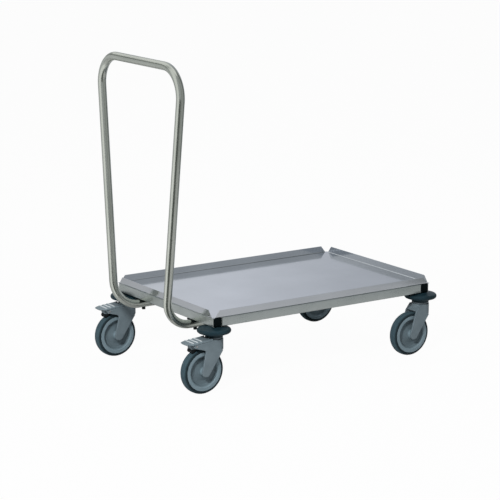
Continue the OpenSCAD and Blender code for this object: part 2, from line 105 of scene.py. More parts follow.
def colourRange(tree, factor, darkCode, lightCode, low=0.3, high=0.7):
    ramp = addNode(tree, "ShaderNodeValToRGB", {"Fac": factor})
    ramp.color_ramp.elements[0].position = low
    ramp.color_ramp.elements[0].color = srgb(darkCode)
    ramp.color_ramp.elements[1].position = high
    ramp.color_ramp.elements[1].color = srgb(lightCode)
    return ramp.outputs["Color"]


def noiseOf(tree, place, sizeMm, detail=3.0, stretch=(1, 1, 1)):
    spread = addNode(tree, "ShaderNodeMapping", {"Vector": place, "Scale": stretch})
    return addNode(tree, "ShaderNodeTexNoise", {
        "Vector": spread.outputs[0], "Scale": 1 / (sizeMm * mm), "Detail": detail}).outputs["Fac"]


def rangeOf(tree, value, low, high):
    return addNode(tree, "ShaderNodeMapRange", {
        "Value": value, "From Min": 0.25, "From Max": 0.75, "To Min": low, "To Max": high}).outputs[0]


def stainless(name, look):
    # Ground and polished stainless: long fine scratches blur the reflections one way
    material, tree, shader, place = surfaceMaterial(name, Metallic=1.0)
    grain = noiseOf(tree, place, look["grainMm"], 4.0, look["stretch"])
    cloud = noiseOf(tree, place, look["cloudMm"], 2.0)
    colour = colourRange(tree, cloud, look["dark"], look["light"])
    rough = maths(tree, "ADD", rangeOf(tree, grain, look["smooth"], look["rough"]),
                  rangeOf(tree, cloud, -look["patchy"], look["patchy"]))
    bump = addNode(tree, "ShaderNodeBump", {
        "Height": grain, "Strength": look["bump"], "Distance": 0.05 * mm})
    tree.links.new(colour, shader.inputs["Base Color"])
    tree.links.new(rough, shader.inputs["Roughness"])
    tree.links.new(bump.outputs[0], shader.inputs["Normal"])
    return material


def moulded(name, look):
    # Moulded plastic and rubber: spark-eroded grain breaks the gloss
    material, tree, shader, place = surfaceMaterial(
        name, **{"Metallic": 0.0, "IOR": look["ior"], "Specular IOR Level": look["gloss"]})
    grain = noiseOf(tree, place, look["grainMm"], 3.0)
    cloud = noiseOf(tree, place, look["cloudMm"], 3.0)
    colour = colourRange(tree, cloud, look["dark"], look["light"])
    rough = rangeOf(tree, cloud, look["smooth"], look["rough"])
    bump = addNode(tree, "ShaderNodeBump", {
        "Height": grain, "Strength": look["bump"], "Distance": 0.08 * mm})
    tree.links.new(colour, shader.inputs["Base Color"])
    tree.links.new(rough, shader.inputs["Roughness"])
    tree.links.new(bump.outputs[0], shader.inputs["Normal"])
    return material


def openedColour(material):
    # where a second tone is laid over the finish: tree, colour socket, what feeds it, place split in axes
    tree = material.node_tree
    socket = next(node for node in tree.nodes if node.type == "BSDF_PRINCIPLED").inputs["Base Color"]
    place = addNode(tree, "ShaderNodeTexCoord").outputs["Object"]
    axes = addNode(tree, "ShaderNodeSeparateXYZ", {"Vector": place}).outputs
    return tree, socket, socket.links[0].from_socket, axes


def shadeByDepth(material, look):
    # painted shade: darkens the colour between two distances from the wheel's middle plane
    tree, socket, unpainted, axes = openedColour(material)
    side = maths(tree, "ABSOLUTE", axes["Y"])
    depth = maths(tree, "ABSOLUTE", maths(tree, "SUBTRACT", side, look["wheelAt"] * mm))
    shade = addNode(tree, "ShaderNodeMapRange", {
        "Value": depth, "From Min": look["darkAt"] * mm, "From Max": look["clearAt"] * mm,
        "To Min": look["shade"], "To Max": 1.0}).outputs[0]
    dark = addNode(tree, "ShaderNodeVectorMath", {0: unpainted, "Scale": shade}, operation="SCALE").outputs[0]
    tree.links.new(dark, socket)


# 304 stainless sheet, ground along the deck and mirror-polished: pale, faintly lilac
trayFinish = stainless("polishedStainlessSheet", {
    "dark": "#cfd3d8", "light": "#d8dce1", "grainMm": 3, "stretch": (0.04, 1, 1), "cloudMm": 160,
    "smooth": 0.08, "rough": 0.15, "patchy": 0.02, "bump": 0.03})
# Bent stainless tube, belt-polished along its length: soft light and dark streaks
tubeFinish = stainless("polishedStainlessTube", {
    "dark": "#bfc3bb", "light": "#cdd0c8", "grainMm": 2, "stretch": (1, 1, 0.05), "cloudMm": 90,
    "smooth": 0.2, "rough": 0.27, "patchy": 0.02, "bump": 0.03})
# Square tube with a ground mill finish: softer, greyer than the tray
railFinish = stainless("groundStainlessTube", {
    "dark": "#bbc2c0", "light": "#c7cdcb", "grainMm": 1.5, "stretch": (0.06, 1, 1), "cloudMm": 70,
    "smooth": 0.24, "rough": 0.36, "patchy": 0.04, "bump": 0.08})
# Bright zinc plate on turned and pressed steel: pale grey, slightly cloudy
zincFinish = stainless("zincPlatedSteel", {
    "dark": "#a4a6a8", "light": "#c2c4c6", "grainMm": 0.8, "stretch": (1, 1, 1), "cloudMm": 12,
    "smooth": 0.26, "rough": 0.42, "patchy": 0.05, "bump": 0.05})
# Black oxide on cap screws: dark steel with an oily sheen
blackOxide = stainless("blackOxideSteel", {
    "dark": "#26282a", "light": "#36393b", "grainMm": 0.6, "stretch": (1, 1, 1), "cloudMm": 9,
    "smooth": 0.34, "rough": 0.5, "patchy": 0.04, "bump": 0.05})
# Glass-filled nylon castor housing: blue-grey with a satin moulded skin
greyPlastic = moulded("satinGreyNylon", {
    "dark": "#6f7d84", "light": "#7a888f", "ior": 1.53, "gloss": 0.3, "grainMm": 0.5, "cloudMm": 30,
    "smooth": 0.34, "rough": 0.48, "bump": 0.12})
# The same nylon on the wheel centres, with painted shade darkening the open dish below the bright ring
wheelPlastic = moulded("wheelNylon", {
    "dark": "#7c9099", "light": "#879aa3", "ior": 1.53, "gloss": 0.25, "grainMm": 0.5, "cloudMm": 30,
    "smooth": 0.36, "rough": 0.5, "bump": 0.12})
shadeByDepth(wheelPlastic, {"wheelAt": 226, "clearAt": 12.9, "darkAt": 9.5, "shade": 0.62})
# The same nylon on the pedals, with a painted highlight that makes the ribs' tops pale
pedalPlastic = moulded("pedalNylon", {
    "dark": "#6f7d84", "light": "#7a888f", "ior": 1.53, "gloss": 0.3, "grainMm": 0.5, "cloudMm": 30,
    "smooth": 0.34, "rough": 0.48, "bump": 0.12})
# Soft slate polyethylene of the bumper discs: smooth, waxy highlights
bumperPlastic = moulded("slatePolyethylene", {
    "dark": "#172a31", "light": "#1f353e", "ior": 1.51, "gloss": 0.22, "grainMm": 0.6, "cloudMm": 35,
    "smooth": 0.36, "rough": 0.5, "bump": 0.1})
# Grey lip of the swivel seal
sealPlastic = moulded("greySealLip", {
    "dark": "#727d83", "light": "#808b91", "ior": 1.5, "gloss": 0.2, "grainMm": 0.5, "cloudMm": 12,
    "smooth": 0.45, "rough": 0.6, "bump": 0.1})
# Thermoplastic rubber tyre: dull blue-grey, with painted shade darkening the side walls away from the tread
tyreRubber = moulded("greyThermoplasticRubber", {
    "dark": "#3e525b", "light": "#4a5f67", "ior": 1.5, "gloss": 0.16, "grainMm": 0.7, "cloudMm": 22,
    "smooth": 0.5, "rough": 0.68, "bump": 0.2})
shadeByDepth(tyreRubber, {"wheelAt": 226, "clearAt": 9.5, "darkAt": 13, "shade": 0.3})
# Black moulded polyethylene of end plugs, caps and saddles
blackPlastic = moulded("blackPolyethylene", {
    "dark": "#030a0c", "light": "#071215", "ior": 1.5, "gloss": 0.06, "grainMm": 0.6, "cloudMm": 14,
    "smooth": 0.4, "rough": 0.56, "bump": 0.12})
# Nitrile brake pad
padRubber = moulded("blackNitrileRubber", {
    "dark": "#0d1113", "light": "#181d20", "ior": 1.5, "gloss": 0.2, "grainMm": 0.6, "cloudMm": 8,
    "smooth": 0.6, "rough": 0.75, "bump": 0.25})
print("materials made")


# Mesh helpers

def newObject(name, vertices, faces, material, edges=()):
    mesh = bpy.data.meshes.new(name)
    mesh.from_pydata([tuple(v) for v in vertices], list(edges), faces)
    piece = bpy.data.objects.new(name, mesh)
    bpy.context.scene.collection.objects.link(piece)
    if material:
        mesh.materials.append(material)
    return piece


def tidyMesh(piece, sharpDegrees=32):
    shape = bmesh.new()
    shape.from_mesh(piece.data)
    bmesh.ops.remove_doubles(shape, verts=shape.verts, dist=0.002 * mm)
    bmesh.ops.recalc_face_normals(shape, faces=shape.faces)
    shape.to_mesh(piece.data)
    shape.free()
    piece.data.shade_smooth()
    piece.data.set_sharp_from_angle(angle=math.radians(sharpDegrees))
    return piece


def bake(piece):
    depsgraph = bpy.context.evaluated_depsgraph_get()
    mesh = bpy.data.meshes.new_from_object(piece.evaluated_get(depsgraph), depsgraph=depsgraph)
    piece.modifiers.clear()
    piece.data = mesh
    return piece


def bevelled(piece, width, segments, degrees):
    # every edge sharper than the given angle, then the modifiers are baked in
    ease = piece.modifiers.new("ease", "BEVEL")
    ease.width = width * mm
    ease.segments = segments
    ease.limit_method = "ANGLE"
    ease.angle_limit = math.radians(degrees)
    return bake(piece)


def joined(name, parts):
    shape = bmesh.new()
    for part in parts:
        shape.from_mesh(part.data)
    mesh = bpy.data.meshes.new(name)
    shape.to_mesh(mesh)
    shape.free()
    mesh.materials.append(parts[0].data.materials[0])
    piece = bpy.data.objects.new(name, mesh)
    bpy.context.scene.collection.objects.link(piece)
    for part in parts:
        bpy.data.objects.remove(part)
    return piece


def filleted(corners, steps=5):
    # corners of a closed outline as (x, y, radius); a radius of 0 stays sharp
    points = []
    for i, (x, y, radius) in enumerate(corners):
        here = Vector((x, y))
        before = Vector(corners[i - 1][:2]) - here
        after = Vector(corners[(i + 1) % len(corners)][:2]) - here
        half = before.angle(after) / 2
        if radius == 0 or half > math.pi / 2 - 0.01:
            points.append((x, y))
            continue
        reach = min(radius / math.tan(half), before.length / 2, after.length / 2)
        centre = here + (before.normalized() + after.normalized()).normalized() * reach / math.cos(half)
        start = here + before.normalized() * reach - centre
        end = here + after.normalized() * reach - centre
        sweep = start.angle_signed(end)
        for k in range(steps + 1):
            turned = start.copy()
            turned.rotate(Matrix.Rotation(-sweep * k / steps, 2))
            points.append(tuple(centre + turned))
    return points


def lathe(name, outline, material, centre, axis="Z", steps=96):
    # outline is a closed loop of (radius, height) in millimetres
    count = len(outline)
    vertices = []
    for k in range(steps):
        angle = 2 * math.pi * k / steps
        for radius, height in outline:
            a = radius * mm * math.cos(angle)
            b = radius * mm * math.sin(angle)
            point = Vector((a, b, height * mm)) if axis == "Z" else Vector((a, height * mm, b))
            vertices.append(point + centre)
    faces = [(k * count + i, k * count + (i + 1) % count,
              (k + 1) % steps * count + (i + 1) % count, (k + 1) % steps * count + i)
             for k in range(steps) for i in range(count)]
    return tidyMesh(newObject(name, vertices, faces, material))


def roundedBox(width, height, radius, steps=5):
    x, y = width / 2, height / 2
    return filleted([(x, y, radius), (-x, y, radius), (-x, -y, radius), (x, -y, radius)], steps)


def loft(name, levels, material, place, capped=True):
    # levels: outlines of equal count with their height, in millimetres; place maps a point to metres
    count = len(levels[0][0])
    vertices = [place(Vector((x, y, z)) * mm) for outline, z in levels for x, y in outline]
    last = len(levels) - (1 if capped else 0)
    faces = [(k * count + i, k * count + (i + 1) % count,
              (k + 1) % len(levels) * count + (i + 1) % count, (k + 1) % len(levels) * count + i)
             for k in range(last) for i in range(count)]
    if capped:
        faces += [tuple(range(count)), tuple(range((len(levels) - 1) * count, len(levels) * count))]
    return tidyMesh(newObject(name, vertices, faces, material))


def geometryTree(name, sizes):
    tree = bpy.data.node_groups.new(name, "GeometryNodeTree")
    tree.interface.new_socket("Geometry", in_out="INPUT", socket_type="NodeSocketGeometry")
    tree.interface.new_socket("Geometry", in_out="OUTPUT", socket_type="NodeSocketGeometry")
    for label, value in sizes.items():
        kind = "NodeSocketInt" if isinstance(value, int) else "NodeSocketFloat"
        tree.interface.new_socket(label, in_out="INPUT", socket_type=kind).default_value = value
    return tree, addNode(tree, "NodeGroupInput").outputs


def closeTree(tree, geometry, material):
    real = addNode(tree, "GeometryNodeRealizeInstances", {"Geometry": geometry})
    painted = addNode(tree, "GeometryNodeSetMaterial", {
        "Geometry": real.outputs[0], "Material": material})
    addNode(tree, "NodeGroupOutput", {"Geometry": painted.outputs[0]})


def grow(piece, tree, sizes):
    grown = piece.modifiers.new(tree.name, "NODES")
    grown.node_group = tree
    for item in tree.interface.items_tree:
        if item.in_out == "INPUT" and item.name in sizes:
            grown[item.identifier] = sizes[item.name]
    return bake(piece)


def softened(name, node, material, look):
    # a moulded piece: the CAD shape with its edges and inner corners rounded
    piece = newObject(name, [], [], None)
    piece.data = frame["nodes"][node].data.copy()
    piece.data.materials.clear()
    piece.data.materials.append(material)
    tidyMesh(piece)
    remesh = piece.modifiers.new("remesh", "REMESH")
    remesh.mode = "VOXEL"
    remesh.voxel_size = look["voxel"] * mm
    smooth = piece.modifiers.new("smooth", "SMOOTH")
    smooth.factor = 0.5
    smooth.iterations = look["passes"]
    thin = piece.modifiers.new("thin", "DECIMATE")
    thin.ratio = look["keep"]
    bake(piece)
    piece.data.shade_smooth()
    return piece


def moved(name, piece, offset):
    twin = bpy.data.objects.new(name, piece.data.copy())
    twin.data.transform(Matrix.Translation(offset))
    bpy.context.scene.collection.objects.link(twin)
    return twin


# Camera: fitted to the photograph, a 146 mm lens seen from behind and to the right

camera = {"azimuth": 34.269, "elevation": 12.544, "roll": 0.216, "lens": 145.93, "sensor": 36,
          "behind": -3205.4, "side": -4583.7, "height": 1545.2, "farthest": 100}


def makeCamera(view):
    turn = math.radians(view["azimuth"])
    tip = math.radians(view["elevation"])
    roll = math.radians(view["roll"])
    ahead = Vector((math.sin(turn) * math.cos(tip), math.cos(turn) * math.cos(tip), -math.sin(tip)))
    level = Vector((math.cos(turn), -math.sin(turn), 0))
    above = level.cross(ahead)
    right = math.cos(roll) * level + math.sin(roll) * above
    up = -math.sin(roll) * level + math.cos(roll) * above
    place = Vector((view["behind"] * mm + frameCentre, view["side"] * mm, view["height"] * mm))
    data = bpy.data.cameras.new("photoView")
    data.lens = view["lens"]
    data.sensor_width = view["sensor"]
    data.clip_end = view["farthest"]
    seen = bpy.data.objects.new("photoView", data)
    seen.matrix_world = Matrix((
        (right.x, up.x, -ahead.x, place.x), (right.y, up.y, -ahead.y, place.y),
        (right.z, up.z, -ahead.z, place.z), (0, 0, 0, 1)))
    bpy.context.scene.collection.objects.link(seen)
    bpy.context.scene.camera = seen


makeCamera(camera)


# Tray: one sheet, laser-cut flat, its four edges folded up

tray = {"length": 734, "width": 490, "rim": 20, "sheet": 1.5, "fold": 1.8, "cornerGap": 6.5,
        "mitre": 0.8, "border": 14, "foldSteps": 8, "edge": 0.35}


def makeTray(size):
    halfL, halfW = size["length"] / 2, size["width"] / 2
    outer = size["fold"] + size["sheet"]
    gap = size["cornerGap"]
    shape = bmesh.new()

    def corner(x, y, z):
        return shape.verts.new((x * mm + frameCentre, y * mm, z * mm + railTop))

    def flap(along, across):
        # along: half length of the folded edge; across(s, out, z): s along it, out across it
        rows = []
        for k in range(size["foldSteps"] + 1):
            turn = math.pi / 2 * k / size["foldSteps"]
            rows.append((outer * math.sin(turn) - outer, outer - outer * math.cos(turn)))
        rows.append((0, size["rim"]))
        previous = None
        for out, z in rows:
            s = along - gap - z * size["mitre"]
            pair = [corner(*across(-s, out, z)), corner(*across(s, out, z))]
            if previous:
                shape.faces.new((previous[0], previous[1], pair[1], pair[0]))
            else:
                first = pair
            previous = pair
        return first

    folds = [flap(halfL, lambda s, out, z: (s, -halfW - out, z)),
             flap(halfW, lambda s, out, z: (halfL + out, s, z)),
             flap(halfL, lambda s, out, z: (-s, halfW + out, z)),
             flap(halfW, lambda s, out, z: (-halfL - out, -s, z))]
    # the flat bottom: one panel, a strip to each fold, and corners that run out between the folds
    inX, inY = halfL - size["border"], halfW - size["border"]
    panel = [corner(-inX, -inY, 0), corner(inX, -inY, 0), corner(inX, inY, 0), corner(-inX, inY, 0)]
    shape.faces.new(panel)
    for k, (sx, sy) in enumerate(((1, -1), (1, 1), (-1, 1), (-1, -1))):
        begin, end = folds[k]
        following = folds[(k + 1) % 4][0]
        shape.faces.new((begin, end, panel[(k + 1) % 4], panel[k]))
        alongX = corner(sx * (halfL - gap), sy * halfW, 0)
        alongY = corner(sx * halfL, sy * (halfW - gap), 0)
        tip = corner(sx * halfL, sy * halfW, 0)
        edges = (alongX, tip, alongY) if k % 2 == 0 else (alongY, tip, alongX)
        shape.faces.new((end, *edges, following, panel[(k + 1) % 4]))
    piece = newObject("traySheet", [], [], trayFinish)
    shape.to_mesh(piece.data)
    shape.free()
    tidyMesh(piece, 30)
    wall = piece.modifiers.new("sheet", "SOLIDIFY")
    wall.thickness = size["sheet"] * mm
    wall.offset = 1
    wall.use_even_offset = True
    tidyMesh(bevelled(piece, size["edge"], 2, 50), 30)
    # keeps the big flat floor's shading flat up to the folds
    flat = piece.modifiers.new("flat", "WEIGHTED_NORMAL")
    flat.keep_sharp = True
    return bake(piece)


traySheet = makeTray(tray)
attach(traySheet, "chassis")
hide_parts("tray")
print("tray made")


# Rails: drawn tube with rounded edges, and their black plugs

rail = {"height": 25, "sideWidth": 25, "crossWidth": 29, "wall": 1.5, "edge": 2.6, "edgeSteps": 6}
# the flange's dome: taken off each size, corner radius, height over the tube's end
plug = {"width": 24, "height": 24.5, "inset": 6, "play": 0.1, "boreCorner": 1.1,
        "dome": [(0, 2.2, 0), (0, 2.2, 1.1), (0.7, 2.0, 1.7), (2, 1.6, 2), (12, 1.2, 2)]}


def makeRail(node, width, lengthwise):
    low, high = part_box(node)
    centre = (low + high) / 2
    length = (high - low)[0 if lengthwise else 1] / mm
    outer = roundedBox(width, rail["height"], rail["edge"], rail["edgeSteps"])
    inner = roundedBox(width - 2 * rail["wall"], rail["height"] - 2 * rail["wall"],
                       rail["edge"] - rail["wall"], rail["edgeSteps"])
    levels = [(outer, -length / 2), (outer, length / 2), (inner, length / 2), (inner, -length / 2)]

    def place(point):
        if lengthwise:
            return Vector((point.z, point.x, point.y)) + centre
        return Vector((point.x, point.z, point.y)) + centre

    return loft(node + "Tube", levels, railFinish, place, capped=False)


for node, width, lengthwise in (
        ("side_rail_left", rail["sideWidth"], True), ("side_rail_right", rail["sideWidth"], True),
        ("cross_rail_rear", rail["crossWidth"], False), ("cross_rail_front", rail["crossWidth"], False)):
    tube = makeRail(node, width, lengthwise)
    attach(tube, "chassis")
    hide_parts(node)


def makePlug(name, centre, outwards):
    # the part inside the tube, then the domed flange
    bore = roundedBox(rail["crossWidth"] - 2 * rail["wall"] - plug["play"],
                      rail["height"] - 2 * rail["wall"] - plug["play"], plug["boreCorner"])
    levels = [(bore, -plug["inset"]), (bore, 0)]
    levels += [(roundedBox(plug["width"] - less, plug["height"] - less, radius), rise)
               for less, radius, rise in plug["dome"]]
    return loft(name, levels, blackPlastic,
                lambda p: Vector((p.x, outwards * p.z, p.y)) + centre)


plugs = []
for railNode in ("cross_rail_rear", "cross_rail_front"):
    low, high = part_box(railNode)
    for outwards, y in ((-1, low.y), (1, high.y)):
        at = Vector(((low.x + high.x) / 2, y, (low.z + high.z) / 2))
        plugs.append(makePlug("plug", at, outwards))
railPlugs = tidyMesh(joined("railPlugs", plugs))
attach(railPlugs, "chassis")
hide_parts("rail_end_plugs")
print("frame made")


# Handle: one tube bent four times, its centre line filleted and swept

handle = {"tube": 23, "footSpacing": 267, "taper": 6.2, "lean": 0.6, "legOut": 78.5,
          "footBend": 75.0, "gripBend": 78.0, "bendSteps": 20, "roundSteps": 48}


def handleLine(size):
    low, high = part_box("handle")
    radius = size["tube"] / 2 * mm
    footZ = low.z + radius
    rise = high.z - radius - footZ
    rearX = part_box("cross_rail_rear")[0].x - size["legOut"] * mm
    gripX = rearX + rise * math.tan(math.radians(size["lean"]))
    footY = size["footSpacing"] / 2 * mm
    gripY = footY + rise * math.tan(math.radians(size["taper"])) / math.cos(math.radians(size["lean"]))
    half = [(high.x, footY, footZ), (rearX, footY, footZ), (gripX, gripY, footZ + rise)]
    return half + [(x, -y, z) for x, y, z in reversed(half)]


def bentTubeTree(material):
    tree, given = geometryTree("bentTube", {
        "Foot bend": 0.075, "Grip bend": 0.078, "Tube radius": 0.0115, "Bend steps": 12, "Round steps": 32})
    line = addNode(tree, "GeometryNodeMeshToCurve", {"Mesh": given["Geometry"]}).outputs[0]
    # points 2 and 3 are the grip's corners, 1 and 4 the feet's
    index = addNode(tree, "GeometryNodeInputIndex").outputs[0]
    away = maths(tree, "ABSOLUTE", maths(tree, "SUBTRACT", index, 2.5))
    isGrip = maths(tree, "LESS_THAN", away, 1.0)
    bend = addNode(tree, "ShaderNodeMapRange", {
        "Value": isGrip, "To Min": given["Foot bend"], "To Max": given["Grip bend"]}).outputs[0]
    rounded = addNode(tree, "GeometryNodeFilletCurve", {
        "Curve": line, "Radius": bend, "Count": given["Bend steps"]}, mode="POLY").outputs[0]
    ring = addNode(tree, "GeometryNodeCurvePrimitiveCircle", {
        "Resolution": given["Round steps"], "Radius": given["Tube radius"]}).outputs[0]
    tube = addNode(tree, "GeometryNodeCurveToMesh", {
        "Curve": rounded, "Profile Curve": ring, "Fill Caps": True}).outputs[0]
    closeTree(tree, tube, material)
    return tree


handleTube = newObject("handleTube", handleLine(handle), [], None, [(k, k + 1) for k in range(5)])
grow(handleTube, bentTubeTree(tubeFinish), {
    "Foot bend": handle["footBend"] * mm, "Grip bend": handle["gripBend"] * mm,
    "Tube radius": handle["tube"] / 2 * mm, "Bend steps": handle["bendSteps"],
    "Round steps": handle["roundSteps"]})
tidyMesh(handleTube, 40)
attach(handleTube, "chassis")
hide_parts("handle")
print("handle made")


# Handle bolts: cap screws with a knurled head and a hex socket

capScrew = {"head": 10, "headHeight": 6, "socket": 5.77, "socketDepth": 3, "ridges": 36, "ridge": 0.45}


def capScrewTree(material):
    tree, given = geometryTree("capScrews", {
        "Head radius": 0.005, "Head height": 0.006, "Socket radius": 0.0029, "Socket depth": 0.003,
        "Ridges": 36, "Ridge size": 0.00045})
    head = addNode(tree, "GeometryNodeMeshCylinder", {
        "Vertices": 72, "Radius": given["Head radius"], "Depth": given["Head height"]}).outputs[0]
    socket = addNode(tree, "GeometryNodeMeshCylinder", {
        "Vertices": 6, "Radius": given["Socket radius"], "Depth": given["Socket depth"]}).outputs[0]
    drop = maths(tree, "MULTIPLY", given["Head height"], -0.5)
    low = addNode(tree, "ShaderNodeCombineXYZ", {"Z": drop}).outputs[0]
    hollow = addNode(tree, "GeometryNodeTransform", {"Geometry": socket, "Translation": low}).outputs[0]
    drilled = addNode(tree, "GeometryNodeMeshBoolean", {"Mesh 1": head, "Mesh 2": hollow},
                      operation="DIFFERENCE").outputs[0]
    circle = addNode(tree, "GeometryNodeMeshCircle", {
        "Vertices": given["Ridges"], "Radius": given["Head radius"]}).outputs[0]
    tall = maths(tree, "MULTIPLY", given["Head height"], 0.8)
    box = addNode(tree, "ShaderNodeCombineXYZ", {
        "X": given["Ridge size"], "Y": given["Ridge size"], "Z": tall}).outputs[0]
    ridge = addNode(tree, "GeometryNodeMeshCube", {"Size": box}).outputs[0]
    knurl = addNode(tree, "GeometryNodeInstanceOnPoints", {"Points": circle, "Instance": ridge}).outputs[0]
    whole = addNode(tree, "GeometryNodeJoinGeometry")
    for part in (drilled, knurl):
        tree.links.new(part, whole.inputs[0])
    screws = addNode(tree, "GeometryNodeInstanceOnPoints", {
        "Points": given["Geometry"], "Instance": whole.outputs[0]}).outputs[0]
    closeTree(tree, screws, material)
    return tree


boltLow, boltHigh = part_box("handle_bolts")
boltX = (boltLow.x + boltHigh.x) / 2
headZ = boltLow.z + capScrew["headHeight"] / 2 * mm
boltY = handle["footSpacing"] / 2 * mm
capScrews = newObject("handleCapScrews", [(boltX, -boltY, headZ), (boltX, boltY, headZ)], [], None)
grow(capScrews, capScrewTree(blackOxide), {
    "Head radius": (capScrew["head"] / 2 - capScrew["ridge"] / 2) * mm,
    "Head height": capScrew["headHeight"] * mm, "Socket radius": capScrew["socket"] / 2 * mm,
    "Socket depth": 2 * capScrew["socketDepth"] * mm, "Ridges": capScrew["ridges"],
    "Ridge size": capScrew["ridge"] * mm})
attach(capScrews, "chassis")


# Castors: discs, seals, wheels and tyres are turned shapes

castor = {"disc": 46, "discNose": 6.5, "discMiddle": 168.5, "hub": 16, "collar": 24, "neck": 28,
          "collarZ": 152, "frameZ": 180, "bolt": 5.05}
seal = {"bore": 11.3, "footIn": 15, "footOut": 21, "foot": 147, "shelf": 149, "rim": 24, "top": 151.7,
        "shelfEdge": 0.5, "topEdge": 0.9}


def discOutline(size):
    # the section as (radius, height, fillet): bore, collar, neck, bull nose, dished top
    nose = size["discNose"]
    middleR, z = size["disc"] - nose, size["discMiddle"]
    bull = [(middleR + nose * math.cos(a), z + nose * math.sin(a), 0)
            for a in (math.radians(-90 + 180 * k / 16) for k in range(17))]
    return filleted([
        (size["bolt"], size["frameZ"], 0), (size["bolt"], size["collarZ"], 0),
        (size["collar"], size["collarZ"], 0.8), (size["neck"] - 2.5, z - nose - 4, 2),
        (size["neck"] + 2, z - nose, 3), *bull, (size["hub"] + 5, size["frameZ"] - 2.4, 8),
        (size["hub"], size["frameZ"], 0)])


def sealOutline(size):
    # a foot on the fork's crown, then the lip that closes on the disc's collar
    return filleted([
        (size["footIn"], size["foot"], 0), (size["footOut"], size["foot"], 0),
        (size["footOut"], size["shelf"], 0), (size["rim"], size["shelf"], size["shelfEdge"]),
        (size["rim"], size["top"], size["topEdge"]), (size["bore"], size["top"], 0),
        (size["bore"], size["shelf"], 0), (size["footIn"], size["shelf"], 0)])


wheel = {"radius": 62.5, "width": 28, "tread": 6, "rim": 53.5, "ring": 43.5, "tongue": 4,
         "tongueIn": 50.5, "hub": 12, "bore": 6, "hubLength": 37, "web": 4}


def wheelOutline(size):
    # half the section as (radius, height, fillet): hub, open dish, bright ring, groove for the tyre
    half, web, tongue = size["width"] / 2, size["web"], size["tongue"]
    side = [(size["bore"], size["hubLength"] / 2, 0), (size["hub"], size["hubLength"] / 2, 0.8),
            (size["hub"] + 1, 9, 3), (size["hub"] + 14, web, 8), (size["ring"] - 7, web + 0.5, 4),
            (size["ring"] - 1, half - 1.2, 1.6), (size["ring"] + 0.6, half, 0.8),
            (size["rim"] - 0.8, half, 0.5), (size["rim"], half - 0.8, 0.4),
            (size["rim"], tongue, 0), (size["tongueIn"], tongue, 0)]
    return filleted(side + [(r, -y, f) for r, y, f in reversed(side)])


def tyreOutline(size):
    # half the section: tongue in the rim's groove, side wall, round crown with a flat tread
    half, flat, tongue = size["width"] / 2, size["tread"] / 2, size["tongue"]
    drop = size["radius"] - size["rim"] - 1
    crown = [(size["radius"] - drop * (1 - math.cos(a)), flat + (half - flat) * math.sin(a), 0)
             for a in (math.radians(90 * k / 14) for k in range(15))]
    side = [(size["tongueIn"], tongue, 0), (size["rim"], tongue, 0), (size["rim"], half, 0)]
    side += reversed(crown)
    return filleted(side + [(r, -y, f) for r, y, f in reversed(side)])


for name in cornerNames:
    swivel, axle = swivelAt[name], axleAt[name]
    foot = Vector((swivel.x, swivel.y, 0))
    disc = lathe("bumperDisc_" + name, discOutline(castor), bumperPlastic, foot)
    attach(disc, "chassis")
    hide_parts("bumper_disc_" + name)
    lip = lathe("sealLip_" + name, sealOutline(seal), sealPlastic, foot)
    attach(lip, "swivel_" + name)
    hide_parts("seal_" + name)
    centre = lathe("wheelCentre_" + name, wheelOutline(wheel), wheelPlastic, axle, "Y")
    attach(centre, "wheel_" + name + "_set")
    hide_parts("wheel_" + name)
    tread = lathe("tyreTread_" + name, tyreOutline(wheel), tyreRubber, axle, "Y", 128)
    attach(tread, "wheel_" + name + "_set")
    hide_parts("tyre_" + name)
print("castor wheels and discs made")


# Forks: moulded skins over the CAD shapes

skin = {"voxel": 0.8, "passes": 4, "keep": 0.35}


def dressForks(names, look):
    # the two forks of a pair are alike: the second is the first one moved
    first = softened("forkHousing_" + names[0], "fork_" + names[0], greyPlastic, look)
    second = moved("forkHousing_" + names[1], first, swivelAt[names[1]] - swivelAt[names[0]])
    for name, piece in zip(names, (first, second)):
        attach(piece, "swivel_" + name)
        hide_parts("fork_" + name)


dressForks(rearNames, skin)
dressForks(frontNames, skin)
print("forks made")


# Brake pedals: a thin cap over the fork's arms, ribbed for the shoe, with the pad's holder below

# holder and ear are side views from the pin: x, z, fillet; no z means up to the cap's underside
pedal = {"clear": 26.5, "frontReach": 8, "reach": 95, "half": 24, "tipHalf": 17, "taper": 11,
         "top": 151.2, "slope": 5.5, "skin": 2.4, "lip": 5, "lipTip": 1.2, "lipFrom": 3, "lipTo": 17,
         "shoulder": 4.5, "tipRound": 3, "tipDrop": 0.9, "tipDropOver": 4, "stations": 140,
         "ribs": 3, "firstRib": 17.3, "ribPitch": 12.7, "ribWidth": 5.0, "ribHeight": 1.5,
         "flankIn": 0.8, "flankOut": 0.4, "ribEnd": 3.4, "ribGone": 4.6, "ribSpread": 0.6,
         # painted highlight on the ribs' tops: its tone, and the heights where it starts and where it is
         # full
         "ribHighlight": "#ccd3d6", "ribHighlightFrom": 0.4, "ribHighlightFull": 0.85,
         "capEdge": 0.45, "holderEdge": 0.5, "earEdge": 0.3, "sink": 0.6,
         "pinX": -70, "pinZ": 138, "holderHalf": 10, "earInside": 16.8, "earOutside": 19.2,
         "holder": [(-13, None, 0), (-8, -4, 3), (-6, -10.5, 0.6), (4.5, -10.5, 0.6), (4.5, None, 0)],
         "ear": [(-9, None, 0), (-5.6, -3, 2), (-2, -6, 2.5), (3, -6, 2), (12, -4, 1), (12, None, 0)]}
# the shoe's hollow face follows the tyre: radius and angles about the axle
shoe = {"half": 11, "edge": 0.5, "axleX": -39, "axleZ": 62.5, "reach": 65.1, "from": 112.6,
        "sweep": 10.9, "steps": 12, "back": [(-8.5, -16.5, 0.8), (-6.5, -10.5, 0.5), (6, -10.5, 0.5)]}


def eased(value, low, high):
    share = min(1, max(0, (value - low) / (high - low)))
    return share * share * (3 - 2 * share)


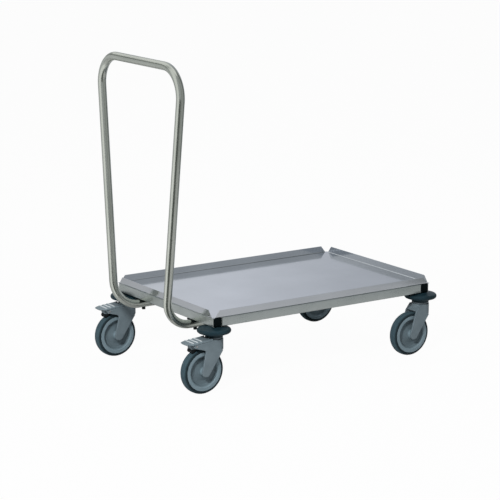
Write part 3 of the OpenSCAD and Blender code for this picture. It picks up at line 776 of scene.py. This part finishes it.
def capLine(size):
    # across the cap from lip to lip: (side, depth below the top face)
    flat = size["half"] - size["shoulder"]
    turn = [math.radians(9 * k) for k in range(11)]
    edge = [(size["half"], size["lip"])] + [
        (flat + size["shoulder"] * math.cos(a), size["shoulder"] * (1 - math.sin(a))) for a in turn]
    return edge + [(flat * (1 - k / 8), 0) for k in range(1, 16)] + [(-y, d) for y, d in reversed(edge)]


def ribRise(size, fromTip):
    rise = 0
    for rib in range(size["ribs"]):
        off = abs(fromTip - size["firstRib"] - rib * size["ribPitch"])
        crest, foot = size["ribWidth"] / 2 - size["flankIn"], size["ribWidth"] / 2 + size["flankOut"]
        rise += size["ribHeight"] * (1 - eased(off, crest, foot))
    return rise


def paintRibHighlight(material, size):
    # painted highlight: blends to a pale tone by height over the cap's sloping top face
    tree, socket, unpainted, axes = openedColour(material)
    slope = math.tan(math.radians(size["slope"]))
    base = (swivelAt[rearNames[0]].x - size["clear"] * mm) * slope - size["top"] * mm
    height = maths(tree, "ADD", axes["Z"], maths(tree, "MULTIPLY_ADD", axes["X"], -slope, base))
    share = addNode(tree, "ShaderNodeMapRange", {
        "Value": height, "From Min": size["ribHighlightFrom"] * mm,
        "From Max": size["ribHeight"] * size["ribHighlightFull"] * mm}).outputs[0]
    ribHighlight = addNode(tree, "ShaderNodeMix", {0: share, 6: unpainted, 7: srgb(size["ribHighlight"])},
                     data_type="RGBA").outputs[2]
    tree.links.new(ribHighlight, socket)


def makePedalCap(size):
    line = capLine(size)
    slope = math.tan(math.radians(size["slope"]))
    tipRound = size["tipRound"]
    vertices = []
    for k in range(size["stations"] + 1):
        for side, depth in line:
            arc = math.sqrt(max(0, size["clear"] ** 2 - side ** 2))
            front = max(size["clear"] - size["frontReach"], arc)
            back = front + (size["reach"] - front) * k / size["stations"]
            fromTip = size["reach"] - back
            half = size["tipHalf"] + (size["half"] - size["tipHalf"]) * min(1, fromTip / size["taper"])
            half -= tipRound - math.sqrt(tipRound ** 2 - max(0, tipRound - fromTip) ** 2)
            lip = size["lipTip"] + (size["lip"] - size["lipTip"]) * eased(
                fromTip, size["lipFrom"], size["lipTo"])
            tipFall = size["tipDrop"] * (1 - eased(fromTip, 0, size["tipDropOver"]))
            deep = depth * lip / size["lip"] + tipFall
            rise = ribRise(size, fromTip) * (1 - eased(depth, size["ribEnd"], size["ribGone"]))
            lean = math.pi / 2 if depth == 0 else math.acos(min(1, abs(side) / size["half"]))
            spread = math.copysign(rise * size["ribSpread"], side) if depth > 0 else 0
            vertices.append(Vector((
                -back, side * half / size["half"] + spread,
                size["top"] - (back - size["clear"]) * slope - deep + rise * math.sin(lean))) * mm)
    count = len(line)
    faces = [(k * count + i, k * count + i + 1, (k + 1) * count + i + 1, (k + 1) * count + i)
             for k in range(size["stations"]) for i in range(count - 1)]
    cap = newObject("pedalCap", vertices, faces, pedalPlastic)
    tidyMesh(cap, 50)
    if cap.data.polygons[len(cap.data.polygons) // 2].normal.z < 0:
        cap.data.flip_normals()
    wall = cap.modifiers.new("wall", "SOLIDIFY")
    wall.thickness = size["skin"] * mm
    wall.offset = -1
    return tidyMesh(bevelled(cap, size["capEdge"], 3, 50), 40)


def makeBlock(name, profile, low, high, material, ease):
    # a side view (x, z) carried across from side low to side high
    block = loft(name, [(profile, low), (profile, high)], material, lambda p: Vector((p.x, p.z, p.y)))
    return tidyMesh(bevelled(block, ease, 3, 35), 40)


def sideView(size, corners):
    points = []
    for x, z, fillet in corners:
        x += size["pinX"]
        z = (size["pinZ"] + z if z is not None else size["sink"] - size["skin"] + size["top"]
             + (x + size["clear"]) * math.tan(math.radians(size["slope"])))
        points.append((x, z, fillet))
    return points


def makePedal(size):
    holder = filleted(sideView(size, size["holder"]), 4)
    ear = filleted(sideView(size, size["ear"]), 4)
    half = size["holderHalf"]
    parts = [makePedalCap(size), makeBlock("holder", holder, -half, half, pedalPlastic, size["holderEdge"])]
    for low, high in ((-size["earOutside"], -size["earInside"]), (size["earInside"], size["earOutside"])):
        parts.append(makeBlock("ear", ear, low, high, pedalPlastic, size["earEdge"]))
    return joined("brakePedal", parts)


def makeShoe(size, pedalSize):
    turns = [math.radians(size["from"] + size["sweep"] * k / size["steps"])
             for k in range(size["steps"] + 1)]
    hollow = [(size["axleX"] + size["reach"] * math.cos(a), size["axleZ"] + size["reach"] * math.sin(a), 0)
              for a in turns]
    outline = filleted(sideView(pedalSize, size["back"]) + hollow, 4)
    return makeBlock("brakeShoe", outline, -size["half"], size["half"], padRubber, size["edge"])


def placed(name, template, corner, body, node):
    # a copy of the template under the given castor
    piece = moved(name, template, Vector((swivelAt[corner].x, swivelAt[corner].y, 0)))
    piece.data.shade_smooth()
    piece.data.set_sharp_from_angle(angle=math.radians(40))
    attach(piece, body + corner)
    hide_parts(node + corner)


# lays the painted highlight on the pedal ribs' tops
paintRibHighlight(pedalPlastic, pedal)
pedalShape = makePedal(pedal)
shoeShape = makeShoe(shoe, pedal)
for name in rearNames:
    placed("brakePedal_" + name, pedalShape, name, "brake_", "pedal_")
    placed("brakeShoe_" + name, shoeShape, name, "brake_", "brake_pad_")
bpy.data.objects.remove(pedalShape)
bpy.data.objects.remove(shoeShape)
print("pedals made")


# Carried-over CAD pieces get their finishes

slotFinish = {"plug_plastic": blackPlastic, "black_steel": blackOxide, "zinc_steel": zincFinish,
              "tube_steel": tubeFinish, "rail_steel": railFinish, "tray_sheet": trayFinish,
              "grey_plastic": greyPlastic, "bumper_plastic": bumperPlastic,
              "seal_plastic": sealPlastic, "tyre_rubber": tyreRubber, "pad_rubber": padRubber}
nodeSlot = {entry["node"]: entry["material_slot"] for entry in frame["record"]["subparts"]}
for node, cadObject in frame["nodes"].items():
    cadObject.data.materials.clear()
    cadObject.data.materials.append(slotFinish[nodeSlot[node]])


# Studio: pale floor, soft lamps, and toned paper that only reflections show

studio = {"floor": "#cbcccd", "floorSize": 40, "floorGlow": 0.97, "worldFill": 0.22,
          "lamps": [("keyLamp", 130, 0.9, (-3.0, -2.2, 2.8)),
                    ("fillLamp", 16, 2.0, (2.4, -3.0, 3.6)),
                    ("topLamp", 44, 2.6, (0.4, 1.2, 3.6))]}


def makeFloor(size):
    half = size["floorSize"] / 2
    corners = [(-half, -half, 0), (half, -half, 0), (half, half, 0), (-half, half, 0)]
    floor = newObject("studioFloor", corners, [(0, 1, 2, 3)], None)
    material = bpy.data.materials.new("paleFloor")
    tree = emptyTree(material)
    matt = addNode(tree, "ShaderNodeBsdfDiffuse", {"Color": srgb(size["floor"])})
    glow = addNode(tree, "ShaderNodeEmission", {"Color": (1, 1, 1, 1), "Strength": 1.0})
    ray = addNode(tree, "ShaderNodeLightPath").outputs["Is Camera Ray"]
    share = maths(tree, "MULTIPLY", ray, size["floorGlow"])
    mixed = addNode(tree, "ShaderNodeMixShader", {0: share, 1: matt.outputs[0], 2: glow.outputs[0]})
    addNode(tree, "ShaderNodeOutputMaterial", {"Surface": mixed.outputs[0]})
    floor.data.materials.append(material)


def makeWorld(size):
    world = bpy.data.worlds.new("studioWorld")
    bpy.context.scene.world = world
    tree = emptyTree(world)
    rays = addNode(tree, "ShaderNodeLightPath").outputs
    seen = maths(tree, "MAXIMUM", rays["Is Camera Ray"], rays["Is Glossy Ray"])
    clear = maths(tree, "MAXIMUM", seen, rays["Is Transmission Ray"])
    level = addNode(tree, "ShaderNodeMapRange", {
        "Value": clear, "To Min": size["worldFill"], "To Max": 1.0}).outputs[0]
    light = addNode(tree, "ShaderNodeBackground", {"Color": (1, 1, 1, 1), "Strength": level})
    addNode(tree, "ShaderNodeOutputWorld", {"Surface": light.outputs[0]})


def makeLamp(name, power, width, place, aim=(0, 0, 0.3)):
    data = bpy.data.lights.new(name, "AREA")
    data.energy = power
    data.shape = "DISK"
    data.size = width
    lamp = bpy.data.objects.new(name, data)
    lamp.location = place
    lamp.rotation_euler = (Vector(aim) - Vector(place)).to_track_quat("-Z", "Y").to_euler()
    lamp.visible_glossy = False
    bpy.context.scene.collection.objects.link(lamp)


# bearings in degrees from the front over the left; past 360 they go on round the front.
# a patch is (from, to, above this height, tone)
surround = {"radius": 5.0, "height": 14.0, "lift": 1, "steps": 144, "handleBehind": 95,
            "nearFrom": 148, "nearTo": 258, "near": 0.12, "far": 1.6,
            "tones": [
                (180, "#f8f9f9"), (203, "#f8f9f9"), (207, "#575b58"), (253, "#575b58"),
                (259, "#9fa2a1"), (292, "#9fa2a1"), (298, "#aeb1b3"), (320, "#aeb1b3"),
                (327, "#6a6e6d"), (352, "#6a6e6d"), (362, "#adb0b4"), (404, "#b1b5bc"),
                (414, "#d3d6dd"), (420, "#d0d3d8"), (426, "#9ea2a3"), (452, "#9ea2a3"),
                (462, "#cfd1d2"), (478, "#cfd1d2"), (486, "#b0b3b5"), (496, "#b0b3b5"),
                (508, "#f8f9f9")],
            "patches": [(203, 258, 30, "#b4b7b9"), (456, 496, 1700, "#7c807e"),
                        (430, 490, 3000, "#f4f5f5")]}


def onRamp(degrees):
    # the radial gradient starts behind the set
    return (degrees - 180) / 360


def tonedPaper(size, handleX):
    material = bpy.data.materials.new("tonedPaper")
    tree = emptyTree(material)
    place = addNode(tree, "ShaderNodeTexCoord").outputs["Object"]
    centred = addNode(tree, "ShaderNodeMapping", {"Vector": place, "Location": (-handleX, 0, 0)})
    bearing = addNode(tree, "ShaderNodeTexGradient", {"Vector": centred.outputs[0]},
                      gradient_type="RADIAL").outputs["Fac"]
    ramp = addNode(tree, "ShaderNodeValToRGB", {"Fac": bearing})
    stops = ramp.color_ramp.elements
    for number, (degrees, code) in enumerate(size["tones"]):
        stop = stops[number] if number < 2 else stops.new(onRamp(degrees))
        stop.position = onRamp(degrees)
        stop.color = srgb(code)
    # on the wall: grey over the dark floor behind the camera, a dark and a bright strip at the far end
    height = addNode(tree, "ShaderNodeSeparateXYZ", {"Vector": place}).outputs["Z"]
    tone = ramp.outputs["Color"]
    for begin, end, above, code in size["patches"]:
        past = maths(tree, "MULTIPLY", maths(tree, "GREATER_THAN", height, above * mm),
                     maths(tree, "GREATER_THAN", bearing, onRamp(begin)))
        inside = maths(tree, "MULTIPLY", past, maths(tree, "LESS_THAN", bearing, onRamp(end)))
        tone = addNode(tree, "ShaderNodeMix", {0: inside, 6: tone, 7: srgb(code)},
                       data_type="RGBA").outputs[2]
    glow = addNode(tree, "ShaderNodeEmission", {"Color": tone, "Strength": 1.0})
    addNode(tree, "ShaderNodeOutputMaterial", {"Surface": glow.outputs[0]})
    return material


def makeSurround(size):
    # grey paper on the floor and round the set, toned by bearing from the handle: polished steel
    # mirrors it as long light and dark streaks, and nothing else sees it
    steps, reach = size["steps"], size["radius"]
    handleX = middle("handle_saddles").x - size["handleBehind"] * mm
    vertices = []
    for k in range(steps):
        bearing = 360 * k / steps
        turn = math.radians(bearing)
        inner = size["near"] if size["nearFrom"] <= bearing <= size["nearTo"] else size["far"]
        for r, z in ((inner, size["lift"] * mm), (reach, size["lift"] * mm), (reach, size["height"])):
            vertices.append((handleX + r * math.cos(turn), r * math.sin(turn), z))
    faces = []
    for k in range(steps):
        a, b = 3 * k, 3 * ((k + 1) % steps)
        faces += [(a, a + 1, b + 1, b), (a + 1, a + 2, b + 2, b + 1)]
    paper = newObject("tonedPaper", vertices, faces, tonedPaper(size, handleX))
    paper.visible_camera = False
    paper.visible_diffuse = False
    paper.visible_shadow = False
    paper.visible_transmission = False


makeFloor(studio)
makeWorld(studio)
for lampName, power, width, place in studio["lamps"]:
    makeLamp(lampName, power, width, place)
makeSurround(surround)

view = bpy.context.scene.view_settings
view.view_transform = "Standard"
print("studio made")
